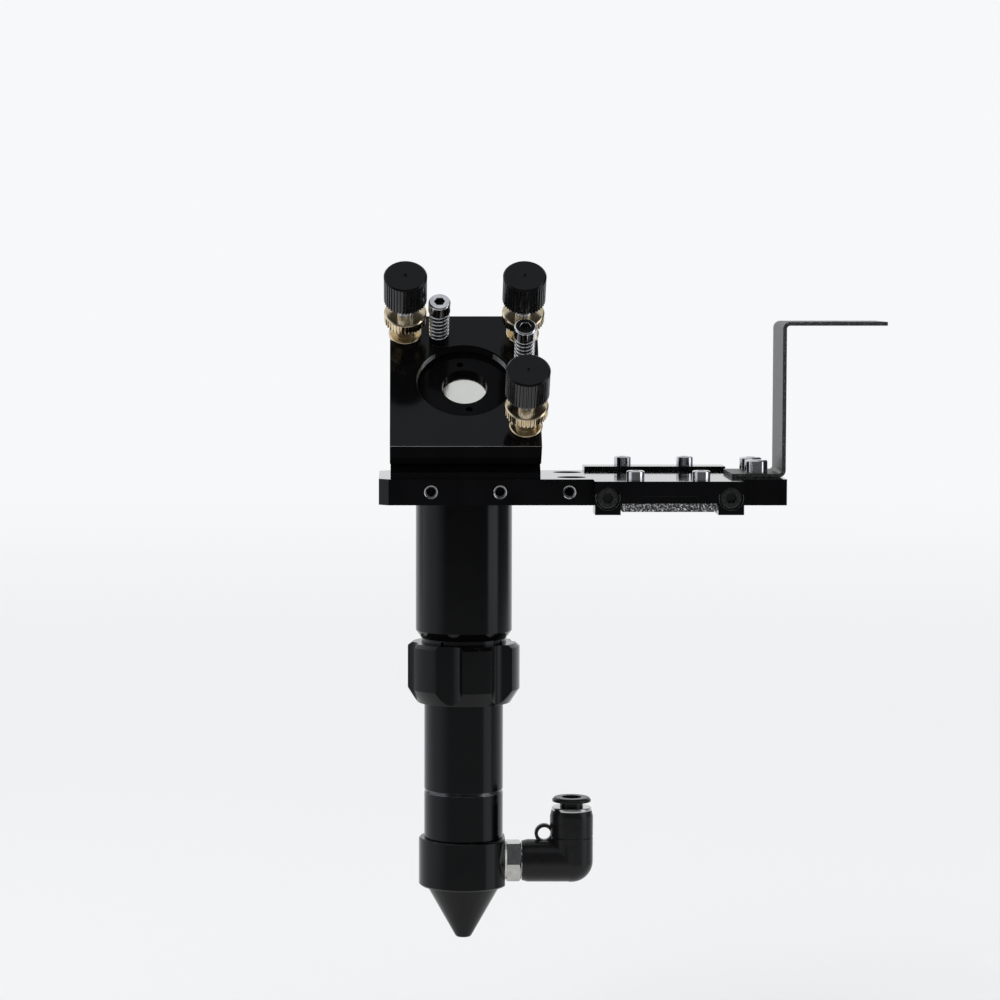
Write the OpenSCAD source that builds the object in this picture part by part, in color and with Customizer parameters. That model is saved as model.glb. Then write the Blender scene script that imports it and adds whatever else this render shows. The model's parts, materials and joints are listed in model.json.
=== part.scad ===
// Laser cutting head: a mirror mount, a height-set lens tube and an air nozzle on one carriage plate.
// Origin: centre of the carriage bolt pattern on the plate's underside. +Z is up, against the beam's way down.
// The beam enters along -Y above the plate, turns on the mirror and leaves through the nozzle. Millimetres.

/* [Base plate] */
// Length of the plate
plate_l = 125; // [120:1:150]
// Width of the plate
plate_w = 44; // [42:1:56]
// Thickness of the plate
plate_t = 8; // [7:0.5:12]
// Reach of the plate past the beam axis, away from the carriage
plate_reach = 26.6; // [25:0.2:34]
// Chamfer of the two corners at that end
plate_chamfer = 3; // [0.5:0.5:6]
// Distance from the beam axis to the centre of the carriage
beam_to_carriage = 58; // [56:0.5:66]
// Spacing of the carriage bolts, both ways
carriage_pitch = 20; // [15:0.5:20]
// Diameter of the carriage bolt holes
carriage_hole_d = 3.4; // [2.5:0.1:4.5]
// Distance from the beam axis to the two counterbored holes
end_bolt_x = 33; // [32:0.5:36]
// Spacing of the two counterbored holes
end_bolt_pitch = 24; // [16:0.5:30]
// Diameter of the counterbores
end_bolt_head_d = 9; // [7:0.1:10]
// Depth of the counterbores
end_bolt_head_h = 4.5; // [2:0.1:6]
// Diameter of the holes under the counterbores
end_bolt_d = 4.5; // [3:0.1:5.5]
// Number of tapped holes along the front edge
edge_holes = 3; // [1:1:3]
// Spacing of those holes
edge_hole_pitch = 21.2; // [18:0.1:22]
// Drilled diameter of those holes
edge_hole_d = 3.3; // [2.5:0.1:4.2]
// Depth of those holes
edge_hole_depth = 8; // [4:0.5:9]
// Width of the countersink at their mouths
edge_hole_sink = 0.4; // [0.1:0.1:1]

/* [Mirror housing] */
// Width of the housing
housing_w = 46; // [44:0.5:52]
// Distance from the beam axis to the front face
housing_front = 20.5; // [20:0.1:21.5]
// Distance from the beam axis to the rear face
housing_back = 22; // [21:0.1:22]
// Height of the housing above the plate
housing_h = 44.2; // [43:0.1:44.4]
// Height of the incoming beam above the plate
beam_height = 23; // [22.5:0.1:24]
// Diameter of the beam's way in and down
beam_bore_d = 22; // [16:0.5:24]
// Distance between the screws that hold the housing, along X
housing_screw_x = 35; // [33:0.5:36]
// Distance between the screws that hold the housing, along Y
housing_screw_y = 26; // [24:0.5:28]
// Depth of their threads in the housing
housing_thread = 6; // [4:0.5:6.5]

/* [Mirror cell] */
// Width of the mirror plate
cell_w = 46.4; // [46:0.2:52]
// Reach of the mirror plate up the slope from the beam axis
cell_up = 27.7; // [26:0.1:30]
// Reach of the mirror plate down the slope from the beam axis
cell_down = 27.5; // [26:0.1:29]
// Thickness of the mirror plate
cell_t = 8; // [7:0.2:10]
// Gap between the mirror plate and the housing
cell_gap = 2; // [1.6:0.1:3]
// Distance from the mirror's polished face to the housing's sloping face
mirror_standoff = 0.4; // [0.2:0.05:0.6]
// Diameter of the mirror
mirror_d = 25; // [20:0.5:26]
// Thickness of the mirror
mirror_t = 4.4; // [3:0.1:4.6]
// Diameter of the threaded recess above the mirror
ring_bore_d = 30; // [28:0.5:31]
// Thickness of the retaining ring
ring_t = 2.2; // [2:0.1:4.5]
// Diameter of the hole in the retaining ring
ring_hole_d = 14; // [8:0.5:15]
// Diameter of the two spanner holes
spanner_hole_d = 2; // [1:0.1:2.5]
// Circle of the two spanner holes
spanner_pcd = 19; // [18:0.5:24]
// Direction of the spanner holes
spanner_angle = 98; // [0:1:180]
// Thickness of the lip that the mirror lies on
lip_t = 1; // [0.6:0.1:1.4]
// Width of that lip
lip_w = 1.8; // [1:0.1:2.5]
// Diameter of the boss behind the mirror plate
boss_d = 33; // [32:0.5:34]

/* [Adjusters] */
// Distance of the adjusters from the centre line
adjuster_u = 18.4; // [18.3:0.1:21]
// Distance of the adjusters up and down the slope
adjuster_v = 19.6; // [19.4:0.1:21]
// Diameter of the adjuster spindles
spindle_d = 5; // [4:0.1:5.4]
// Diameter of the bushing's flange
bushing_flange_d = 10.4; // [9:0.1:12]
// Thickness of the bushing's flange
bushing_flange_t = 1.5; // [0.8:0.1:2.5]
// Diameter of the bushing's body in the plate
bushing_d = 8; // [7:0.1:8.6]
// Diameter of the bushing's neck
bushing_neck_d = 6.6; // [6.2:0.1:8]
// Height of the bushing's neck
bushing_neck_h = 5; // [3:0.1:6]
// Diameter of the lock nuts
lock_nut_d = 13.3; // [10:0.1:14]
// Height of the lock nuts
lock_nut_h = 4; // [2.5:0.1:6]
// Number of ridges on a lock nut
lock_nut_ridges = 36; // [20:1:48]
// Diameter of the knobs
knob_d = 13.5; // [10:0.1:14]
// Height of the knobs
knob_h = 11; // [7:0.1:14]
// Number of ridges on a knob
knob_ridges = 40; // [20:1:48]
// Gap between the lock nut and the knob of the lower adjuster
knob_gap = 4.2; // [3:0.1:6]
// Extra gap at the two upper adjusters
upper_knob_lift = 0.6; // [0:0.1:3]
// Depth of the ridges
ridge_depth = 0.4; // [0.2:0.05:0.6]

/* [Spring screws] */
// Upper spring screw, across from the centre line
upper_spring_u = -7.8; // [-7.8:0.1:0]
// Upper spring screw, up the slope
upper_spring_v = 18.8; // [18.6:0.1:22]
// Side spring screw, across from the centre line
side_spring_u = 18.6; // [18.4:0.1:20]
// Side spring screw, up the slope
side_spring_v = 8; // [4:0.1:8.5]
// Outer diameter of the springs
spring_od = 6.4; // [5.6:0.1:7]
// Diameter of the spring wire
spring_wire = 0.8; // [0.5:0.05:0.9]
// Number of turns
spring_turns = 7; // [4:1:9]
// Compressed length of the springs
spring_l = 11.8; // [8:0.1:14]
// Depth of the screws in the housing
spring_screw_thread = 7; // [4:0.5:9]

/* [Upper tube] */
// Wall of the upper tube around the lens tube
tube_wall = 2.7; // [2.1:0.1:4]
// Length of the full-diameter part
tube_l = 40.7; // [32:0.1:60]
// Diameter of the spigot in the plate
spigot_d = 26; // [24:0.1:28]
// Length of the spigot
spigot_l = 6; // [4:0.5:6.5]
// Length of the taper under the tube
tube_taper = 2.5; // [1:0.1:4]
// Wall of the slit collet around the lens tube
collet_wall = 0.9; // [0.7:0.1:1.6]
// Length of the slit collet
collet_l = 16.3; // [12:0.1:18]
// Width of the collet's slits
slit_w = 1.2; // [0.5:0.1:2]
// Number of slits
slits = 4; // [2:1:6]
// Direction of the first slit
slit_angle = -31; // [-90:1:90]
// Uncut height above the slits
slit_land = 0.4; // [0.2:0.1:2]

/* [Focus lock nut] */
// Wall of the focus lock nut around the collet
focus_nut_wall = 4.3; // [3.7:0.1:6]
// Height of the focus lock nut
focus_nut_h = 18.8; // [17.5:0.1:24]
// Gap between the tube's taper and the nut
focus_nut_gap = 1.4; // [0.6:0.1:2]
// Height of the lower chamfer
focus_nut_skirt = 4.4; // [3:0.1:6]
// Width of the lower chamfer
focus_nut_slope = 2.9; // [1:0.1:3]
// Number of finger flutes
flutes = 6; // [4:1:8]
// Direction of the first flute
flute_angle = -17; // [-60:1:60]
// Radius of the flutes
flute_r = 5.8; // [5:0.1:9]
// Depth of the flutes
flute_depth = 2.6; // [0.8:0.1:2.8]

/* [Lens tube] */
// Diameter of the lens tube
lens_tube_d = 24.8; // [22:0.1:28]
// Top of the lens tube below the plate
lens_tube_top = 20; // [16:0.5:24]
// Length of the lens tube
lens_tube_l = 71.1; // [66:0.1:90]
// Wall of the lens tube
lens_tube_wall = 1.9; // [1.7:0.1:3]
// Length of the barrel under the lens tube
barrel_l = 15.4; // [14.4:0.1:20]
// Height of the parting groove between them
groove_h = 0.7; // [0.3:0.1:1]
// Depth of the parting groove
groove_depth = 0.5; // [0.2:0.05:0.8]
// Length of the barrel's thread in the lens tube
barrel_thread_l = 8.7; // [7:0.1:10]
// Wall of the lens tube around that thread
barrel_thread_wall = 1.05; // [0.9:0.05:1.1]
// Wall of the barrel around the lens
lens_wall = 1.35; // [1.25:0.05:2]
// Edge thickness of the lens
lens_edge_t = 2; // [1.5:0.1:2.5]
// Focal length of the lens
focal_length = 50.8; // [50.8, 63.5, 76.2, 101.6]
// Depth of the lens seat below the parting groove
lens_seat_drop = 1.8; // [1:0.1:3]
// Section of the ring that cushions the lens
o_ring_d = 1.5; // [1:0.1:1.6]
// Height of the lens retaining ring
lens_ring_h = 2.5; // [1.5:0.1:3]

/* [Nozzle] */
// Diameter of the nozzle's ring
nozzle_ring_d = 28.2; // [28:0.1:34]
// Height of the nozzle's ring
nozzle_ring_h = 15.2; // [14.8:0.1:20]
// Diameter of the cone at its top
cone_top_d = 23.6; // [20:0.1:24]
// Diameter of the cone at its tip
cone_tip_d = 5.2; // [4:0.1:8]
// Height of the cone
cone_h = 16.7; // [12:0.1:24]
// Rounding of the cone's tip
tip_edge = 0.4; // [0.1:0.1:0.6]
// Diameter of the orifice
orifice_d = 2.4; // [1:0.1:3]
// Diameter of the gas room
gas_room_d = 16; // [14:0.1:17]
// Length of the nozzle's thread in the barrel
nozzle_thread_l = 7.9; // [5:0.1:8.5]
// Wall of the barrel around that thread
nozzle_thread_wall = 1.2; // [1.1:0.1:2]
// Distance from the beam axis to the flat for the fitting
fitting_flat = 13; // [12:0.1:13.6]

/* [Air fitting] */
// Height of the fitting's axis above the nozzle ring's lower face
fitting_z = 7.5; // [7.2:0.1:8]
// Diameter of the fitting's thread
fitting_thread_d = 9.7; // [7:0.1:10]
// Thickness of the seal under the hexagon
seal_t = 0.6; // [0.3:0.1:0.8]
// Width of the hexagon across flats
hex_af = 13; // [11:0.5:13]
// Length of the hexagon
hex_l = 4.5; // [3:0.1:7]
// Turn of the hexagon about its axis
hex_turn = 0; // [0:1:59]
// Diameter of the swivel journal
journal_d = 9; // [8:0.1:9.6]
// Length of the swivel journal
journal_l = 8.9; // [7:0.1:9.5]
// Diameter of the elbow's level arm
elbow_arm_d = 13.4; // [12:0.1:13.4]
// Diameter of the elbow's upright arm
elbow_up_d = 13.6; // [13.5:0.1:14.4]
// Length of the level arm from the hexagon to the upright arm's axis
elbow_arm_l = 16; // [15.5:0.1:20]
// Height of the upright arm above the level arm's axis
elbow_up_l = 16.1; // [15:0.1:22]
// Length of the taper at both ends of the elbow
elbow_taper = 1.8; // [0.5:0.1:2]
// Outer diameter of the eyelet
eyelet_d = 6.1; // [5:0.05:7]
// Hole in the eyelet
eyelet_hole_d = 4; // [2:0.05:4]
// Thickness of the eyelet
eyelet_t = 2; // [2:0.1:5]
// Diameter of the air tube
air_tube_d = 6; // [4:0.1:6.2]
// Diameter of the ring on the upright arm
collar_d = 12.5; // [11:0.1:13]
// Height of that ring
collar_h = 1.1; // [0.6:0.1:2]
// Diameter of the release button
button_d = 12.2; // [10:0.1:13]
// Thickness of the release button's rim
button_t = 1.4; // [1:0.1:2.5]
// Diameter of the release button's sleeve
button_sleeve_d = 7.25; // [7:0.05:7.6]
// Gap under the release button
button_gap = 1.7; // [1.4:0.1:3]

/* [Belt clamps] */
// Distance from the beam axis to the near end of the bars
bar_x = 39; // [38.5:0.1:42]
// Length of the bars
bar_l = 45.2; // [44:0.1:50]
// Depth of the bars
bar_w = 10; // [8:0.1:12]
// Height of the bars
bar_h = 10.2; // [9.5:0.1:13]
// Length of the legs at both ends
bar_leg_l = 7.8; // [7.5:0.1:8.4]
// Depth of the space between the legs
bar_recess = 3.5; // [2.8:0.1:4]
// Length of the shallow pocket in a bar's outer face
bar_pocket_l = 19; // [14:0.5:22]
// Height of that pocket
bar_pocket_h = 2.1; // [1:0.1:3]
// Depth of that pocket
bar_pocket_depth = 0.4; // [0.2:0.1:1]
// Drop of the front bar's top below the plate's top
front_bar_drop = 0; // [0:0.1:1]
// Rise of the rear bar's top above the plate's top
rear_bar_rise = 1.2; // [0:0.1:2]
// Thickness of the clamp strips
strip_t = 2.5; // [2:0.1:4]
// Gap at both ends of a strip
strip_gap = 0.5; // [0.3:0.1:1]
// Distance between the screws of a strip
strip_screw_pitch = 20; // [14:0.5:22]

/* [Cable bracket] */
// Sheet thickness of the bracket
sheet_t = 1.2; // [0.8:0.1:2]
// Width of the bracket
bracket_w = 25; // [22:0.5:30]
// Shift of the bracket along Y from the plate's middle
bracket_y = -1.5; // [-4:0.5:4]
// Length of the bracket's foot
bracket_foot = 16.6; // [15.5:0.1:20]
// Overhang of the bracket past the plate's end
bracket_overhang = 0.6; // [0:0.1:2]
// Height of the bracket
bracket_h = 48; // [30:0.5:70]
// Length of the bracket's top flange
bracket_flange = 32.2; // [24:0.1:50]
// Outer radius of the folds
bracket_fold_r = 2.2; // [2.1:0.1:4]
// Distance from the foot's edge to the screws
bracket_screw_in = 8; // [6:0.1:8]
// Spacing of the bracket screws
bracket_screw_pitch = 15; // [10:0.5:16]
// Diameter of the holes in the flange
chain_hole_d = 4.2; // [3:0.1:5]
// Spacing of the holes in the flange
chain_hole_pitch = 14; // [10:0.5:16]

/* [Screws] */
// Diameter of the larger screws
m4_d = 4; // [3:0.1:4]
// Head diameter of the larger screws
m4_head_d = 7; // [6:0.1:7]
// Head height of the larger screws
m4_head_h = 4; // [3:0.1:4]
// Key size of the larger screws
m4_key = 3; // [2:0.1:3.5]
// Diameter of the smaller screws
m3_d = 3; // [2:0.1:3.2]
// Head diameter of the smaller screws
m3_head_d = 5.5; // [4.5:0.1:6]
// Head height of the smaller screws
m3_head_h = 3; // [2:0.1:3.5]
// Key size of the smaller screws
m3_key = 2.5; // [1.5:0.1:2.8]

/* [Fits] */
// Radial clearance of threads, seats and running fits
fit = 0.05; // [0.02:0.01:0.08]
// Clearance between pieces that pass each other freely
clear = 0.3; // [0.2:0.05:0.5]
// Clearance around a screw in a plain hole
screw_clear = 0.3; // [0.2:0.05:0.35]

/* [Hidden] */

// Smoothness of round faces
$fn = 72;
// Overlap of cutting shapes with the faces they pass
cut = 1;

black = [0.05, 0.05, 0.055];
dark_grey = [0.16, 0.16, 0.17];
steel = [0.75, 0.75, 0.76];
brass = [0.82, 0.72, 0.5];
pale = [0.88, 0.87, 0.82];
plastic = [0.08, 0.08, 0.085];
glass = [0.85, 0.65, 0.3];

// Places along X
beam_x = -beam_to_carriage;
plate_end = beam_x - plate_reach + plate_l;

// Heights of the tube stack, from the plate's underside down
tube_end = -tube_l;
taper_end = tube_end - tube_taper;
collet_end = taper_end - collet_l;
focus_nut_top = taper_end - focus_nut_gap;
focus_nut_end = focus_nut_top - focus_nut_h;
lens_tube_end = -lens_tube_top - lens_tube_l;
barrel_end = lens_tube_end - barrel_l;
ring_end = barrel_end - nozzle_ring_h;
tip_z = ring_end - cone_h;
fitting_axis_z = ring_end + fitting_z;
sliding_bore_r = lens_tube_d / 2 + fit;
tube_d = lens_tube_d + 2 * tube_wall;
collet_d = lens_tube_d + 2 * collet_wall;
focus_nut_d = collet_d + 2 * focus_nut_wall;
lens_tube_bore = lens_tube_d - 2 * lens_tube_wall;
barrel_thread_d = lens_tube_d - 2 * barrel_thread_wall;
lens_d = barrel_thread_d - 2 * lens_wall;
nozzle_thread_d = lens_tube_d - 2 * nozzle_thread_wall;

// Heights of the mirror cell, from the polished face outwards
beam_z = plate_t + beam_height;
cell_back = cell_gap - mirror_standoff;
cell_face = cell_back + cell_t;
ring_low = mirror_t;
mirror_angle = 45;
slope_z = beam_z - mirror_standoff / cos(mirror_angle);

// Stack of an adjuster, from the mirror plate's face outwards
lock_nut_low = bushing_flange_t + bushing_neck_h;
lock_nut_high = lock_nut_low + lock_nut_h;
adjusters = [
    [-adjuster_u, adjuster_v, upper_knob_lift],
    [adjuster_u, adjuster_v, upper_knob_lift],
    [adjuster_u, -adjuster_v, 0]
];
spring_places = [[upper_spring_u, upper_spring_v], [side_spring_u, side_spring_v]];

// Places of the belt clamps
bar_mid = beam_x + bar_x + bar_l / 2;
bar_screw_span = bar_l - bar_leg_l;
front_bar_top = plate_t - front_bar_drop;
rear_bar_top = plate_t + rear_bar_rise;
strip_l = bar_l - 2 * bar_leg_l - 2 * strip_gap;
bar_head_room = m4_head_h + clear;
bar_thread = 8;

// Places of the air fitting, along its axis from the beam axis outwards
seal_end = fitting_flat + seal_t;
hex_end = seal_end + hex_l;
elbow_axis = hex_end + elbow_arm_l;
air_way_d = air_tube_d - 1.6;
elbow_top = elbow_up_l;
collar_top = elbow_top + collar_h;
button_low = collar_top + button_gap;
button_travel = 1.2;
sleeve_low = elbow_top - 1;
sleeve_room = sleeve_low - button_travel - 0.2;
tube_seal_t = 1.4;
tube_seal_d = 8.5;
tube_stop = 5.7;
journal_groove = 1.4;

// Mirror frame: origin where the beam meets the mirror, +Z out of the mount, +Y up the slope
module on_mirror() {
    translate([beam_x, 0, beam_z])
        rotate([mirror_angle, 0, 0])
            children();
}

// Places children on the beam axis
module on_beam() {
    translate([beam_x, 0, 0])
        children();
}

// Places children on the fitting's axis, turned so that their +Z runs outwards
module on_fitting() {
    translate([beam_x, 0, fitting_axis_z])
        rotate([0, 90, 0])
            children();
}

// Places children at the foot of the elbow's upright arm
module on_elbow() {
    translate([beam_x + elbow_axis, 0, fitting_axis_z])
        children();
}

// Places children at one adjuster on the mirror plate's face
module on_adjuster(place) {
    on_mirror()
        translate([place[0], place[1], cell_face])
            children();
}

// Disc or tube with a chamfer at its top edge
module turned(d, h, edge) {
    rotate_extrude()
        polygon([[0, 0], [d / 2, 0], [d / 2, h - edge], [d / 2 - edge, h], [0, h]]);
}

// Socket cap screw: the head stands on z = 0 and the shank runs down from it
module cap_screw(d, head_d, head_h, key, shank) {
    edge = head_h / 10;
    difference() {
        union() {
            turned(head_d, head_h, edge);
            translate([0, 0, -shank])
                cylinder(d = d, h = shank + edge);
        }
        translate([0, 0, head_h * 0.45])
            cylinder(d = key / cos(30), h = head_h, $fn = 6);
    }
}

module m4_screw(shank) {
    cap_screw(m4_d, m4_head_d, m4_head_h, m4_key, shank);
}

module m3_screw(shank) {
    cap_screw(m3_d, m3_head_d, m3_head_h, m3_key, shank);
}

// Outline of a ridged round: each ridge has a flat crest and a flat root
function ridged_outline(d, ridges) = [
    for (i = [0 : ridges - 1], corner = [0 : 3])
        let (
            a = 360 / ridges * (i + [0, 0.36, 0.5, 0.86][corner]),
            r = corner < 2 ? d / 2 - fit : d / 2 - ridge_depth
        )
        [r * cos(a), r * sin(a)]
];

// Ridged round with a plain bevelled band on top and a smaller one below
module ridged(d, h, ridges, band) {
    root_d = d - 2 * ridge_depth - 2 * fit;
    cylinder(d1 = root_d - 2 * band, d2 = root_d, h = band);
    translate([0, 0, band])
        linear_extrude(h - 2 * band)
            polygon(ridged_outline(d, ridges));
    translate([0, 0, h - band])
        cylinder(d1 = d, d2 = d - 2 * band, h = band);
}

// Helical spring standing on z = 0, swept as rings of points along the coil
module coil_spring(od, wire, turns, length) {
    sides = 6;
    steps = 16;
    rings = turns * steps;
    coil_r = (od - wire) / 2;
    rise = length - wire;
    points = [
        for (i = [0 : rings], j = [0 : sides - 1])
            let (
                turn = 360 * i / steps,
                round = 360 * j / sides,
                r = coil_r + wire / 2 * cos(round)
            )
            [r * cos(turn), r * sin(turn), wire / 2 + rise * i / rings + wire / 2 * sin(round)]
    ];
    sleeve = [
        for (i = [0 : rings - 1], j = [0 : sides - 1], half = [0, 1])
            let (
                a = i * sides + j,
                b = i * sides + (j + 1) % sides,
                c = a + sides,
                d = b + sides
            )
            half == 0 ? [a, b, d] : [a, d, c]
    ];
    start = [for (j = [0 : sides - 1]) sides - 1 - j];
    end = [for (j = [0 : sides - 1]) rings * sides + j];
    polyhedron(points = points, faces = concat(sleeve, [start], [end]), convexity = 10);
}

// Ring of round section, such as a seal
module round_ring(mid_d, section_d) {
    rotate_extrude()
        translate([mid_d / 2, 0])
            circle(d = section_d, $fn = 32);
}

// Base plate

module base_plate() {
    color(black)
    difference() {
        plate_blank();
        on_beam() {
            translate([0, 0, -cut])
                cylinder(d = spigot_d + 2 * fit, h = plate_t + 2 * cut);
            end_bolt_cuts();
            edge_hole_cuts();
            at_housing_screws()
                housing_screw_cut();
        }
        at_carriage_bolts()
            cylinder(d = carriage_hole_d, h = plate_t + 2 * cut);
        at_bar_screws(1)
            plate_thread_cut();
        at_bar_screws(-1)
            plate_thread_cut();
        at_bracket_screws()
            translate([0, 0, -plate_t - cut])
                cylinder(d = m4_d + 2 * fit, h = plate_t + 2 * cut);
    }
}

module plate_blank() {
    translate([beam_x - plate_reach, -plate_w / 2, 0])
        linear_extrude(plate_t)
            polygon([
                [plate_chamfer, 0], [plate_l, 0], [plate_l, plate_w],
                [plate_chamfer, plate_w], [0, plate_w - plate_chamfer], [0, plate_chamfer]
            ]);
}

module end_bolt_cuts() {
    for (side = [-1, 1])
        translate([end_bolt_x, side * end_bolt_pitch / 2, -cut]) {
            cylinder(d = end_bolt_d, h = plate_t + 2 * cut);
            translate([0, 0, cut + plate_t - end_bolt_head_h])
                cylinder(d = end_bolt_head_d, h = end_bolt_head_h + cut);
        }
}

module edge_hole_cuts() {
    for (i = [0 : edge_holes - 1])
        translate([(i - 0.5) * edge_hole_pitch, -plate_w / 2, plate_t / 2])
            rotate([-90, 0, 0]) {
                translate([0, 0, -cut])
                    cylinder(d = edge_hole_d, h = edge_hole_depth + cut);
                translate([0, 0, -edge_hole_sink])
                    cylinder(
                        d1 = edge_hole_d + 4 * edge_hole_sink, d2 = edge_hole_d, h = 2 * edge_hole_sink
                    );
            }
}

module at_carriage_bolts() {
    for (x = [-1, 1], y = [-1, 1])
        translate([x * carriage_pitch / 2, y * carriage_pitch / 2, -cut])
            children();
}

// Mirror housing

module at_housing_screws() {
    for (x = [-1, 1], y = [-1, 1])
        translate([x * housing_screw_x / 2, y * housing_screw_y / 2, 0])
            children();
}

module housing_screw_cut() {
    translate([0, 0, -cut]) {
        cylinder(d = m4_d + 2 * screw_clear, h = plate_t + 2 * cut);
        cylinder(d = m4_head_d + 2 * screw_clear, h = m4_head_h + screw_clear + cut);
    }
}

module mirror_housing() {
    color(black)
    difference() {
        housing_blank();
        on_beam() {
            translate([0, 0, plate_t - cut])
                cylinder(d = beam_bore_d, h = beam_height + beam_bore_d);
            translate([0, 0, beam_z])
                rotate([-90, 0, 0])
                    cylinder(d = beam_bore_d, h = housing_back + cut);
            at_housing_screws()
                translate([0, 0, plate_t - cut])
                    cylinder(d = m4_d + 2 * fit, h = housing_thread + cut + clear);
        }
        on_mirror() {
            translate([0, 0, -lip_t - 2 * clear])
                cylinder(d = boss_d + 4 * clear, h = lip_t + 2 * clear + cut);
            at_springs()
                translate([0, 0, -mirror_standoff - spring_screw_thread - clear])
                    cylinder(d = m4_d + 2 * fit, h = spring_screw_thread + clear + cut);
        }
    }
}

module housing_blank() {
    top = plate_t + housing_h;
    translate([beam_x - housing_w / 2, 0, 0])
        rotate([90, 0, 90])
            linear_extrude(housing_w)
                polygon([
                    [-housing_front, plate_t], [housing_back, plate_t], [housing_back, top],
                    [top - slope_z, top], [-housing_front, slope_z - housing_front]
                ]);
}

module housing_screws() {
    color(steel)
    on_beam()
        at_housing_screws()
            translate([0, 0, m4_head_h + screw_clear])
                rotate([180, 0, 0])
                    m4_screw(plate_t - m4_head_h - screw_clear + housing_thread);
}

// Mirror cell

module mirror_plate() {
    color(black)
    on_mirror()
        difference() {
            union() {
                translate([-cell_w / 2, -cell_down, cell_back])
                    cube([cell_w, cell_up + cell_down, cell_t]);
                translate([0, 0, -lip_t])
                    cylinder(d = boss_d, h = lip_t + cell_back + cut);
            }
            translate([0, 0, -lip_t - cut])
                cylinder(d = mirror_d - 2 * lip_w, h = cell_face + lip_t + 2 * cut);
            cylinder(d = mirror_d + 2 * fit, h = cell_face + cut);
            translate([0, 0, ring_low])
                cylinder(d = ring_bore_d, h = cell_face - ring_low + cut);
            at_adjusters()
                translate([0, 0, cell_back - cut])
                    cylinder(d = bushing_d, h = cell_t + 2 * cut);
            at_springs()
                translate([0, 0, cell_back - cut])
                    cylinder(d = m4_d + 4 * screw_clear, h = cell_t + 2 * cut);
        }
}

module at_adjusters() {
    for (place = adjusters)
        translate([place[0], place[1], 0])
            children();
}

module at_springs() {
    for (place = spring_places)
        translate([place[0], place[1], 0])
            children();
}

module beam_mirror() {
    color(pale)
    on_mirror()
        cylinder(d = mirror_d, h = mirror_t);
}

module mirror_retaining_ring() {
    color(black)
    on_mirror()
        translate([0, 0, ring_low])
            difference() {
                cylinder(d = ring_bore_d - 2 * fit, h = ring_t);
                translate([0, 0, -cut])
                    cylinder(d = ring_hole_d, h = ring_t + 2 * cut);
                for (side = [0, 180])
                    rotate(spanner_angle + side)
                        translate([spanner_pcd / 2, 0, -cut])
                            cylinder(d = spanner_hole_d, h = ring_t + 2 * cut);
            }
}

// Adjusters

module adjuster_bushings() {
    color(brass)
    for (place = adjusters)
        on_adjuster(place)
            difference() {
                union() {
                    translate([0, 0, -cell_t])
                        cylinder(d = bushing_d - 2 * fit, h = cell_t + bushing_flange_t / 2);
                    turned(bushing_flange_d, bushing_flange_t, bushing_flange_t / 5);
                    cylinder(d = bushing_neck_d, h = lock_nut_low);
                }
                translate([0, 0, -cell_t - cut])
                    cylinder(d = spindle_d + 2 * fit, h = cell_t + lock_nut_low + 2 * cut);
            }
}

// Spindle from its ball end at the housing to the middle of the knob
module spindle(place) {
    tip = cell_back + mirror_standoff + cell_t - clear / 2;
    top = lock_nut_high + knob_gap + place[2] + knob_h / 2;
    color(steel)
    on_adjuster(place)
        translate([0, 0, -tip])
            rotate_extrude()
                intersection() {
                    union() {
                        translate([0, spindle_d / 2])
                            circle(d = spindle_d);
                        translate([0, spindle_d / 2])
                            square([spindle_d / 2, tip + top - spindle_d / 2]);
                    }
                    square([spindle_d, tip + top]);
                }
}

module lock_nut(place) {
    color(brass)
    on_adjuster(place)
        translate([0, 0, lock_nut_low])
            difference() {
                ridged(lock_nut_d, lock_nut_h, lock_nut_ridges, lock_nut_h / 10);
                translate([0, 0, -cut])
                    cylinder(d = spindle_d + 2 * fit, h = lock_nut_h + 2 * cut);
            }
}

module knob(place) {
    color(plastic)
    on_adjuster(place)
        translate([0, 0, lock_nut_high + knob_gap + place[2]])
            difference() {
                ridged(knob_d, knob_h, knob_ridges, knob_h / 22);
                translate([0, 0, -cut])
                    cylinder(d = spindle_d + 2 * fit, h = knob_h / 2 + clear + cut);
                translate([0, 0, knob_h - knob_h / 22])
                    cylinder(d1 = knob_h / 22, d2 = knob_h / 7, h = knob_h / 22 + fit);
            }
}

module upper_left_spindle() { spindle(adjusters[0]); }
module upper_right_spindle() { spindle(adjusters[1]); }
module lower_spindle() { spindle(adjusters[2]); }
module upper_left_lock_nut() { lock_nut(adjusters[0]); }
module upper_right_lock_nut() { lock_nut(adjusters[1]); }
module lower_lock_nut() { lock_nut(adjusters[2]); }
module upper_left_knob() { knob(adjusters[0]); }
module upper_right_knob() { knob(adjusters[1]); }
module lower_knob() { knob(adjusters[2]); }

// Spring screws

module spring_screws() {
    shank = spring_l + cell_face + mirror_standoff + spring_screw_thread;
    color(steel)
    on_mirror()
        at_springs()
            translate([0, 0, cell_face + spring_l])
                m4_screw(shank);
}

module plate_spring(place) {
    color(steel)
    on_mirror()
        translate([place[0], place[1], cell_face + fit])
            coil_spring(spring_od, spring_wire, spring_turns, spring_l - 2 * fit);
}

module upper_spring() { plate_spring(spring_places[0]); }
module side_spring() { plate_spring(spring_places[1]); }

// Tubes

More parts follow.
